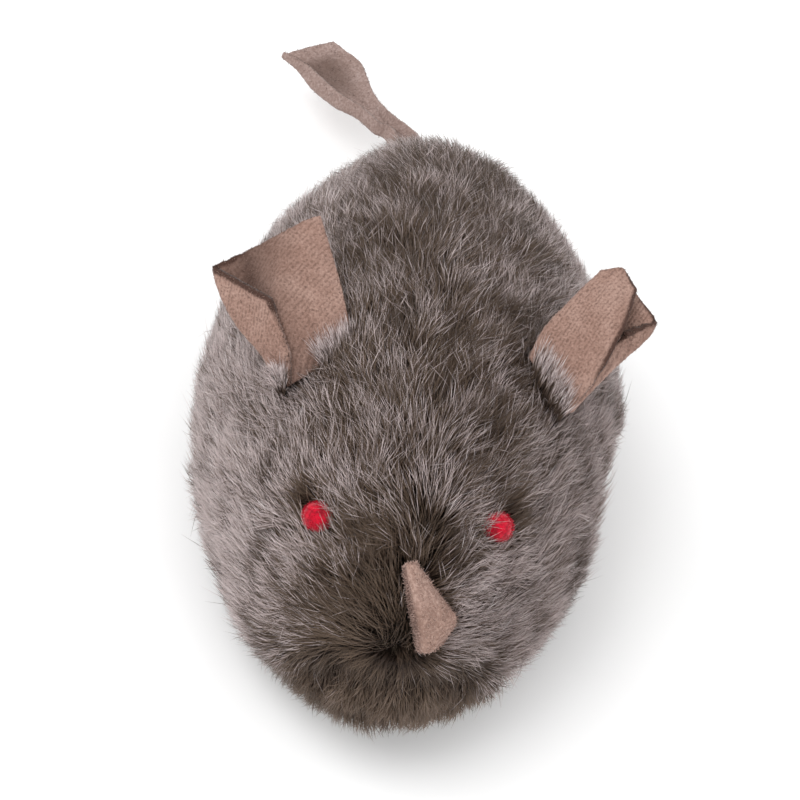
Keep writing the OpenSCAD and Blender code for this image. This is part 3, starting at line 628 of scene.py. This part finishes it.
def pileMaterial():
    s = Shader("plushPile")
    along, tone, patch = s.attribute("along"), s.attribute("tone"), s.attribute("patch")
    brown, light = s.attribute("brown"), s.attribute("light")
    fleck = s.noise(650.0)
    shade = s.mix(pile["root"], pile["umber"], s.ease(along, 0.02, 0.35))
    shade = s.mix(shade, pile["olive"], s.ease(along + (patch - 0.5) * 0.2, 0.25, 0.62))
    # silver frosting: random per hair, more on the flanks and cheek; the extra on the flank facing the key
    # lamp is painted light
    frost = s.ease(tone + light * 0.4 - brown * 0.6 + (patch - 0.5) * 0.75, 0.44, 0.66)
    shade = s.mix(shade, pile["silver"], frost * s.ease(along, 0.4, 0.85))
    tan = s.ease(tone + patch * 0.3, 0.5, 0.8) * s.ease(along, 0.5, 0.95) * s.ease(brown, 0.55, 0.95)
    shade = s.mix(shade, pile["tan"], tan * 0.85)
    shine = s.ease(tone + light * 0.1 - brown * 0.12, 0.86, 0.97)
    shade = s.mix(shade, pile["pale"], shine * s.ease(along, 0.45, 0.8) * 0.8)
    # dark mottling at random; along the mouth seam the same darkening is painted shadow of the groove
    shade = s.mix(shade, pile["umber"], s.ease(patch, 0.42, 0.12) * 0.55)
    shade = s.mix(shade, pile["umber"], s.ease(fleck, 0.55, 0.8) * 0.25)
    return s.finish(Base_Color=shade, Roughness=0.48, Specular_IOR_Level=0.4)


def samplePile(count, seed):
    # even scatter over the covers by area, as body coordinates
    random = np.random.default_rng(seed)
    v, angle = np.linspace(-0.995, 0.995, 241), np.linspace(-0.5, 1.5, 361) * np.pi
    grid = bodyPoint(*np.meshgrid(v, angle, indexing="ij"))
    area = np.linalg.norm(np.cross(np.diff(grid, axis=0)[:, :-1], np.diff(grid, axis=1)[:-1]), axis=2)
    area = np.where(grid[:-1, :-1, 2] > body["hem"] - 1.2, area, 0)
    cell = random.choice(area.size, count, p=(area / area.sum()).reshape(-1))
    i, j = np.unravel_index(cell, area.shape)
    along = v[i] + random.random(count) * (v[1] - v[0])
    return along, angle[j] + random.random(count) * (angle[1] - angle[0])


def outwardAt(v, angle):
    step = 0.002
    d = np.cross(bodyPoint(v, angle + step) - bodyPoint(v, angle - step),
                 bodyPoint(v + step, angle) - bodyPoint(v - step, angle))
    n = unit(-d)
    away = bodyPoint(v, angle) - np.array([0, body["widestY"], body["widestZ"]])
    return n * np.sign((n * away).sum(-1, keepdims=True))


def napAt(p, outward):
    # the way the pile lies: back and out from the nose, down the flanks, down from the mouth
    side = p[:, 0] - body["seamX"]
    ahead = np.clip((-p[:, 1] - 4) / 34.0, 0, 1)
    away = np.tanh(side / (5.5 - 3.0 * ahead))
    spread = 0.4 + np.where(side > 0, 0.3, -0.08) * ahead
    lie = np.stack([away * spread, np.full(len(p), 0.97), 0.12 * ahead - 0.1 * np.abs(away)], 1)
    flank = np.clip((20 - p[:, 2]) / 14.0, 0, 1)[:, None]
    lie = lie + flank * np.array([0, 0.0, -0.75])
    hemward = np.clip((7 - p[:, 2]) / 5.0, 0, 1)[:, None]
    lie = lie * (1 - 0.6 * hemward) + hemward * np.array([0, 0, -1.0])
    chin = np.stack([side * 0.05, np.full(len(p), -0.35), np.full(len(p), -0.9)], 1)
    share = bump01(overMouth(p) + 0.016 * p[:, 0] ** 2, 1.2, -1.2)[:, None] * (p[:, 1:2] < -20)
    lie = lie * (1 - share) + chin * share
    return unit(lie - (lie * outward).sum(1)[:, None] * outward)


def treeOf(spots):
    tree = KDTree(len(spots))
    for i, c in enumerate(spots):
        tree.insert(c, i)
    tree.balance()
    return tree


def nearest(points, centres):
    tree = treeOf(centres)
    return np.array([tree.find(p)[1] for p in points])


def makePile():
    random = np.random.default_rng(11)
    v, angle = samplePile(pile["count"], 12)
    skin = bodyPoint(v, angle)
    outward = outwardAt(v, angle)
    roots = bodyPoint(v, angle, pile["depth"])
    roots[:, 2] = np.maximum(roots[:, 2], body["hem"] + 0.15)
    count = len(roots)
    nap = napAt(skin, outward)
    across = np.cross(outward, nap)
    tuftCount = int(pile["coverArea"] / pile["tuftGap"] ** 2)
    wispCount = int(pile["coverArea"] / pile["wispGap"] ** 2)
    tuft = nearest(roots, roots[:tuftCount])
    wisp = nearest(roots, roots[:min(wispCount, count // 3)])
    tuftTurn = random.normal(size=count) * 0.2
    wispTurn = random.normal(size=count) * 0.2
    tuftRise = random.normal(size=count)
    swirl = 0.3 * drift(roots / 7.0 + 9, 8) + 0.2 * drift(roots / 2.6 + 3, 10)
    stray = (random.random(count) < 0.05)
    turn = tuftTurn[tuft] + wispTurn[wisp] + swirl + random.normal(size=count) * (0.26 + 0.5 * stray)
    nap = nap * np.cos(turn)[:, None] + across * np.sin(turn)[:, None]
    mouth = overMouth(skin) + 0.016 * skin[:, 0] ** 2 + 1.8
    ahead = skin[:, 1] < -20
    belowSeam = (overMouth(skin) < 0) & ahead
    chin = bump01(mouth, 1.4, -1.4) * ahead
    # mouth seam: hairs are shorter here, and painted darker as the groove's shadow
    lips = np.exp(-(mouth / 1.5) ** 2) * ahead * bump01(-np.abs(skin[:, 0] - 0.5), -13, -8)
    parting = np.exp(-((skin[:, 0] - body["seamX"]) / 1.3) ** 2) * bump01(-skin[:, 1], -6, 10)
    run = pile["run"] * (1 - 0.42 * chin) * (1 - 0.5 * lips) * (1 + 0.14 * random.normal(size=count))
    run = run * (1 + 0.12 * stray)
    thick = np.linalg.norm(skin - roots, axis=1)
    rise = thick * (0.9 - 0.6 * lips) + 0.3 * tuftRise[tuft] + 0.34 * random.normal(size=count)
    rise = rise + 0.6 * drift(roots / 3.2 + 77, 4) * (1 - 0.5 * chin)
    t = np.linspace(0, 1, pile["stations"])
    upright = unit(skin - roots)
    line = np.stack([roots + upright * (rise * (1 - (1 - s) ** 1.7))[:, None]
                     + nap * (run * s ** 1.35)[:, None] for s in t], 1)
    pull = ((roots - roots[tuft]) * 0.22 + (roots - roots[wisp]) * 0.5)[:, None, :]
    line = line - pull * (t ** 1.5)[None, :, None]
    line = line + random.normal(size=(count, 1, 3)) * 0.16 * (t ** 2)[None, :, None]
    line[..., 2] = np.maximum(line[..., 2], 0.35)
    lying = nap[:, None, :] * run[:, None, None] * (t ** 1.35)[None, :, None]

    keep = np.ones(count, bool)
    socket = np.zeros(count)
    for centre, radius in eyeSpots:
        across = random.random(count) < np.where(skin[:, 1] < centre[1], 0.45, 0.05)
        for k in (1, 2, 3):
            gap = np.linalg.norm((line[:, k] - centre), axis=1)
            keep &= (gap > radius + pile["eyeGap"]) | (across & (gap > radius * 0.7))
        # hollow beside each eye: hairs are thinned, and the spot is painted darker as shade in the hollow
        hollow = centre + np.array([np.sign(centre[0]) * 2.0, 1.9, 0.6])
        near = np.exp(-(np.linalg.norm(line[:, 2] - hollow, axis=1) / 2.3) ** 2)
        socket = np.maximum(socket, near)
        keep &= (near < 0.5) | (random.random(count) < 0.2)
    hub = middle("winding_knob")
    reach = (high("winding_knob") - low("winding_knob"))[2] / 2 + pile["knobGap"]
    for k in (0, 3):
        keep &= ~((line[:, k, 0] > 12) & (np.hypot(line[:, k, 1] - hub[1], line[:, k, 2] - hub[2]) < reach))
    tree = treeOf(np.concatenate([s[::3] for s in sheetSpots]))
    boxes = [(s.min(0) - 1, s.max(0) + 1) for s in sheetSpots]

    def touching(candidates):
        # hairs that pass through suede
        hits = np.zeros(count, bool)
        for k in (1, 2, 3):
            near = np.zeros(count, bool)
            for lowest, highest in boxes:
                near |= ((line[:, k] > lowest) & (line[:, k] < highest)).all(1)
            for i in np.flatnonzero(near & candidates & ~hits):
                hits[i] = tree.find(line[i, k])[2] < pile["suedeGap"]
        return hits

    pressed = touching(keep)
    line[pressed] -= lying[pressed] * random.uniform(0.75, 1.05, pressed.sum())[:, None, None]
    keep &= ~touching(pressed)

    muzzle = bump01(-skin[:, 1], 31, 39) * np.exp(-((skin[:, 0] + 4.0) / 6.0) ** 2)
    besideNose = np.exp(-((skin[:, 0] + 1.0) / 3.6) ** 2) * bump01(-skin[:, 1], 27, 35)
    leaning = np.zeros(count, bool)
    for made, node in earsMade:
        _, front, back, side, _ = made
        rows = slice(*(int(front.shape[0] * share) for share in pile["earFoot"]))
        panels = [(front, side, slice(0, int(front.shape[1] * 0.4)))]
        if node == "ear_right":
            panels.append((back, -side, slice(int(front.shape[1] * 0.86), front.shape[1])))
        for face, away, cols in panels:
            if (away[rows, cols] * [0, -0.6, 0.8]).sum(-1).mean() < 0:
                face, away = (back if face is front else front), -away
            foot, out = face[rows, cols].reshape(-1, 3), away[rows, cols].reshape(-1, 3)
            rising = unit((face[rows, cols] - face[:1, cols]).reshape(-1, 3))
            pick = random.integers(0, len(foot), pile["overEar"])
            foot, out, rising = foot[pick], out[pick], rising[pick]
            swap = np.flatnonzero(~keep & ~leaning)[:pile["overEar"]]
            share = np.linspace(-1.5, 1, pile["stations"])[None, :, None]
            reach = random.uniform(1.0, 2.2, len(pick))[:, None, None]
            slant = (random.normal(size=(len(pick), 3)) * 0.5)[:, None, :]
            over = foot[:, None] + rising[:, None] * share * reach + slant * (share + 1) * 0.5
            over = over + out[:, None] * (0.45 + 0.35 * (share + 1)) - rising[:, None] * 0.6
            line[swap] = over[:len(swap)]
            keep[swap] = True
            leaning[swap] = True

    # chin, muzzle and nose-side colours are the fur's own; the mouth seam and eye hollows join this mask as
    # painted shade
    brown = [0.95 * chin, 0.45 * muzzle, 0.7 * besideNose, 0.2 * parting, lips, socket]
    brown = np.clip(np.maximum.reduce(brown), 0, 1)
    # lighter frosting on the flanks and cheek; the flank facing the key lamp (x below 0) gets more, as
    # painted light
    flank = bump01(np.abs(skin[:, 0] - 1), 9, 23) * np.where(skin[:, 0] < 0, 0.75, 0.55)
    crest = bump01(skin[:, 2], 40, 44.5) * bump01(skin[:, 1], -30, -12)
    cheek = bump01(skin[:, 0], 3, 9) * bump01(-skin[:, 1], 24, 36)
    light = np.clip(flank + 0.45 * cheek, 0, 1) * (1 - brown) - 0.2 * crest
    streaks = skin * [1.0, 0.42, 0.6]
    blotch = 0.5 + 0.22 * drift(streaks / 2.9 + 21, 6) + 0.26 * drift(streaks / 1.1 + 5, 7)
    # random mottling, pushed dark along the mouth seam as painted shadow of the groove
    patch = np.clip(blotch + 0.16 * random.normal(size=count)[tuft], 0, 1) * (1 - 0.9 * lips)
    tone = np.clip(0.45 * random.random(count) + 0.55 * random.random(count)[wisp], 0, 1)
    tone[leaning] = 0.35 + 0.65 * tone[leaning]
    brown[leaning] = 0
    radius = pile["radius"] * (1 + 0.2 * random.normal(size=count)).clip(0.55, 1.6)
    panels = {
        "left": (skin[:, 0] >= body["seamX"]) & ~belowSeam,
        "right": (skin[:, 0] < body["seamX"]) & ~belowSeam,
        "chin": belowSeam,
    }
    material = pileMaterial()
    made = {}
    for panel, mask in panels.items():
        rows = np.flatnonzero(mask & keep)
        made[panel] = []
        for part, begin in enumerate(range(0, len(rows), pile["perPiece"])):
            pick = rows[begin:begin + pile["perPiece"]]
            points, faces, grade, each = hairMesh(line[pick], radius[pick], outward[pick])
            marks = {"along": grade}
            for key, values in (("tone", tone), ("patch", patch), ("brown", brown), ("light", light)):
                marks[key] = np.repeat(values[pick], each)
            piece = addMesh(f"pile_{panel}_{part}", points, faces, material, marks)
            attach(piece, "mouse")
            "plush_chin" if panel == "chin" else "plush_back"
            made[panel].append(piece)
        print("pile", panel, len(rows), "hairs")
    return made


pilePieces = makePile()

# woven backing that the pile is knotted into, one panel for each cover
backing = {"outer": 3.9, "thickness": 0.5, "rows": 96, "cols": 132}


def backingMaterial():
    s = Shader("plushBacking")
    warp = s.wave(900.0, s.place(), "X", 1.5)
    weft = s.wave(900.0, s.place(), "Z", 1.5)
    fluff = s.noise(400.0, 4.0)
    shade = s.mix((0.03, 0.022, 0.015), (0.065, 0.049, 0.035), s.ease(warp * weft, 0.15, 0.6))
    shade = s.mix(shade, (0.012, 0.009, 0.006), s.ease(fluff, 0.5, 0.75) * 0.6)
    return s.finish(Base_Color=shade, Roughness=0.95, Specular_IOR_Level=0.1,
                    Normal=s.bump(warp * 0.5 + weft * 0.5, 0.6, 0.00015))


backingCloth = backingMaterial()


def makePanel(name, nodes, cuts, hole=False):
    v = np.linspace(-0.995, 0.995, backing["rows"])
    angle = np.arange(backing["cols"]) / backing["cols"] * 2 * np.pi
    grid = bodyPoint(*np.meshgrid(v, angle, indexing="ij"), backing["outer"])
    rows, cols = grid.shape[:2]
    index = np.arange(rows * cols).reshape(rows, cols)
    after = np.roll(index, -1, axis=1)
    faces = np.stack([index[:-1], after[:-1], after[1:], index[1:]], -1).reshape(-1, 4)
    mesh = bpy.data.meshes.new(name)
    ends = [tuple(index[0][::-1]), tuple(index[-1])]
    mesh.from_pydata((grid.reshape(-1, 3) * mm).tolist(), [], [tuple(f) for f in faces] + ends)
    sheet = bmesh.new()
    sheet.from_mesh(mesh)
    for point, normal in cuts + [((0, 0, body["hem"]), (0, 0, -1))]:
        everything = sheet.verts[:] + sheet.edges[:] + sheet.faces[:]
        bmesh.ops.bisect_plane(sheet, geom=everything, plane_co=Vector(point) * mm, plane_no=Vector(normal),
                               clear_outer=True)
    if hole:
        hub = middle("winding_knob") * mm
        reach = ((high("winding_knob") - low("winding_knob"))[2] / 2 + 1.4) * mm
        near = [f for f in sheet.faces if f.calc_center_median().x > 0.01
                and math.hypot(f.calc_center_median().y - hub[1], f.calc_center_median().z - hub[2]) < reach]
        bmesh.ops.delete(sheet, geom=near, context="FACES")
        for vert in sheet.verts:
            y, z = vert.co.y - hub[1], vert.co.z - hub[2]
            if vert.is_boundary and vert.co.x > 0.015 and math.hypot(y, z) < reach * 1.5:
                stretch = reach / math.hypot(y, z)
                vert.co.y, vert.co.z = hub[1] + y * stretch, hub[2] + z * stretch
    bmesh.ops.recalc_face_normals(sheet, faces=sheet.faces[:])
    size = sum(f.calc_area() for f in sheet.faces)
    middleFace = sheet.faces[:][len(sheet.faces) // 2]
    away = middleFace.calc_center_median() - Vector((0, 0, body["widestZ"])) * mm
    if middleFace.normal.dot(away) < 0:
        bmesh.ops.reverse_faces(sheet, faces=sheet.faces[:])
    sheet.to_mesh(mesh)
    sheet.free()
    mesh.materials.append(backingCloth)
    panel = bpy.data.objects.new(name, mesh)
    bpy.context.scene.collection.objects.link(panel)
    shell = panel.modifiers.new("thickness", "SOLIDIFY")
    shell.thickness, shell.offset = backing["thickness"] * mm, -1
    applied = bpy.data.meshes.new_from_object(panel.evaluated_get(bpy.context.evaluated_depsgraph_get()))
    panel.modifiers.clear()
    panel.data = applied
    applied.polygons.foreach_set("use_smooth", np.full(len(applied.polygons), True))
    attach(panel, "mouse")
    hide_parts(*nodes)
    print(name, "cloth area cm2", round(size * 1e4, 2))
    return panel


seam = (body["seamX"], 0, 0)
lipPoint = (0, body["mouthY"], body["mouthZ"])
lipTurn = math.radians(body["mouthSlope"])
lipDown = (0, -math.sin(lipTurn), -math.cos(lipTurn))
lipUp = (0, math.sin(lipTurn), math.cos(lipTurn))
makePanel("plush_left", ["fur_cover_left"], [(seam, (-1, 0, 0)), (lipPoint, lipDown)],
          True)
makePanel("plush_right", ["fur_cover_right"], [(seam, (1, 0, 0)), (lipPoint, lipDown)])
makePanel("plush_chin", ["chin_panel"], [(lipPoint, lipUp)])
print("covers made")


# wadding, teased from the form of its frame node
def makeWadding():
    s = Shader("wadding")
    lumps = s.noise(160.0, 4.0)
    threads = s.noise(1400.0, 4.0)
    shade = s.mix((0.78, 0.76, 0.7), (0.5, 0.48, 0.43), s.ease(lumps, 0.45, 0.7))
    shade = s.mix(shade, (0.88, 0.87, 0.84), s.ease(threads, 0.55, 0.75) * 0.6)
    material = s.finish(Base_Color=shade, Roughness=0.95, Specular_IOR_Level=0.1,
                        Normal=s.bump(threads, 0.8, 0.0004))
    source = frame["nodes"]["stuffing"]
    piece = bpy.data.objects.new("wadding", source.data.copy())
    bpy.context.scene.collection.objects.link(piece)
    remesh = piece.modifiers.new("even", "REMESH")
    remesh.mode, remesh.voxel_size = "VOXEL", 0.9 * mm
    piece.data = bpy.data.meshes.new_from_object(piece.evaluated_get(bpy.context.evaluated_depsgraph_get()))
    piece.modifiers.clear()
    count = len(piece.data.vertices)
    at, outward = np.zeros(count * 3, np.float32), np.zeros(count * 3, np.float32)
    piece.data.vertices.foreach_get("co", at)
    piece.data.vertices.foreach_get("normal", outward)
    at, outward = at.reshape(-1, 3) / mm, outward.reshape(-1, 3)
    dent = 0.28 + 0.13 * drift(at / 2.4, 71) + 0.1 * drift(at / 1.1, 73)
    teased = (at - outward * dent[:, None]) * mm
    piece.data.vertices.foreach_set("co", teased.astype(np.float32).reshape(-1))
    piece.data.polygons.foreach_set("use_smooth", np.full(len(piece.data.polygons), True))
    piece.data.materials.clear()
    piece.data.materials.append(material)
    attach(piece, "mouse")
    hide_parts("stuffing")


makeWadding()
print("wadding made")


# finishes of the motor, wheels and base
def mouldedPlastic(name, colour, dark, rough, grain=1100.0):
    s = Shader(name)
    texture = s.noise(grain, 3.0)
    flow = s.noise(70.0, 3.0)
    scuff = s.ease(s.noise(260.0, 5.0, s.stretched((1.0, 3.5, 1.0))), 0.6, 0.72)
    shade = s.mix(colour, dark, s.ease(flow, 0.4, 0.7) * 0.5)
    shade = s.mix(shade, tuple(min(1.0, c * 1.5 + 0.03) for c in colour), scuff * 0.3)
    return s.finish(Base_Color=shade, Roughness=rough + texture * 0.18 + scuff * 0.12,
                    Specular_IOR_Level=0.5, Normal=s.bump(texture, 0.25, 0.00006))


def turnedMetal(name, colour, tarnish, rough, along):
    s = Shader(name)
    lines = s.noise(900.0, 3.0, s.stretched(along))
    stain = s.ease(s.noise(150.0, 4.0), 0.48, 0.72)
    shade = s.mix(colour, tarnish, stain * 0.6)
    shade = s.mix(shade, tuple(c * 0.7 for c in colour), s.ease(lines, 0.5, 0.75) * 0.4)
    return s.finish(Base_Color=shade, Metallic=1.0, Roughness=rough + lines * 0.2 + stain * 0.15,
                    Normal=s.bump(lines, 0.2, 0.00003))


def tyreRubber():
    s = Shader("tyreRubber")
    axle = tuple(float(c) * mm for c in middle("drive_axle"))
    ribs = s.wave(300.0, s.place(), "X")
    dust = s.ease(s.noise(320.0, 5.0), 0.5, 0.72)
    shade = s.mix((0.018, 0.018, 0.02), (0.1, 0.095, 0.088), dust * 0.55)
    wear = s.ease(s.noise(420.0, 3.0, s.shifted(axle)), 0.55, 0.75)
    shade = s.mix(shade, (0.045, 0.044, 0.044), wear * 0.5)
    return s.finish(Base_Color=shade, Roughness=0.72 + dust * 0.15, Specular_IOR_Level=0.35,
                    Normal=s.bump(ribs * 0.7 + dust * 0.2, 0.5, 0.00012))


finishes = {
    "base_plastic": mouldedPlastic("basePlastic", (0.034, 0.037, 0.043), (0.02, 0.021, 0.025), 0.42, 1500.0),
    "case_plastic": mouldedPlastic("casePlastic", (0.55, 0.52, 0.43), (0.42, 0.39, 0.31), 0.36),
    "gear_plastic": mouldedPlastic("gearPlastic", (0.72, 0.68, 0.56), (0.6, 0.56, 0.44), 0.32),
    "wheel_plastic": mouldedPlastic("wheelPlastic", (0.44, 0.045, 0.03), (0.3, 0.025, 0.018), 0.3),
    "knob_plastic": mouldedPlastic("knobPlastic", (0.66, 0.63, 0.55), (0.52, 0.49, 0.41), 0.34),
    "brass": turnedMetal("wheelBrass", (0.78, 0.56, 0.22), (0.4, 0.25, 0.09), 0.24, (0.3, 3.0, 3.0)),
    "spring_steel": turnedMetal("springSteel", (0.2, 0.235, 0.3), (0.1, 0.1, 0.14), 0.26, (4.0, 0.6, 0.6)),
    "steel": turnedMetal("arborSteel", (0.6, 0.61, 0.63), (0.36, 0.33, 0.3), 0.22, (5.0, 0.5, 0.5)),
    "tyre_rubber": tyreRubber(),
}
slotOf = {part["node"]: part["material_slot"] for part in frame["record"]["subparts"]}
for node, piece in frame["nodes"].items():
    piece.data.materials.clear()
    piece.data.materials.append(finishes.get(slotOf[node], backingCloth))
print("finishes set")

# pale floor, soft studio light
studio = {"floor": 2500.0, "floorColour": (0.93, 0.93, 0.93), "sky": 1.08, "key": 2.3, "fill": 0.8}


def makeFloor():
    s = Shader("floor")
    speck = s.noise(30.0, 2.0)
    shade = s.mix(studio["floorColour"], (0.91, 0.91, 0.91), s.ease(speck, 0.4, 0.7))
    material = s.finish(Base_Color=shade, Roughness=0.9, Specular_IOR_Level=0.1)
    line = np.linspace(-studio["floor"], studio["floor"], 24)
    x, y = np.meshgrid(line, line, indexing="ij")
    points = np.stack([x.ravel(), y.ravel(), np.zeros(x.size)], 1)
    index = np.arange(x.size).reshape(x.shape)
    faces = np.stack([index[:-1, :-1], index[1:, :-1], index[1:, 1:], index[:-1, 1:]], -1).reshape(-1, 4)
    addMesh("floor", points, faces, material)


def addLight(name, place, width, watts):
    data = bpy.data.lights.new(name, "AREA")
    data.shape, data.size, data.energy = "DISK", width, watts
    lamp = bpy.data.objects.new(name, data)
    lamp.location = place
    aim = Vector((0, 0, 0.02)) - Vector(place)
    lamp.rotation_euler = aim.to_track_quat("-Z", "Y").to_euler()
    bpy.context.scene.collection.objects.link(lamp)


makeFloor()
world = bpy.data.worlds.new("studio")
world.use_nodes = True
world.node_tree.nodes["Background"].inputs[0].default_value = (1, 1, 1, 1)
world.node_tree.nodes["Background"].inputs[1].default_value = studio["sky"]
bpy.context.scene.world = world
addLight("key", (-0.35, -0.05, 0.7), 0.55, studio["key"])
addLight("fill", (0.5, -0.5, 0.5), 0.5, studio["fill"])
bpy.context.scene.view_settings.view_transform = "Standard"
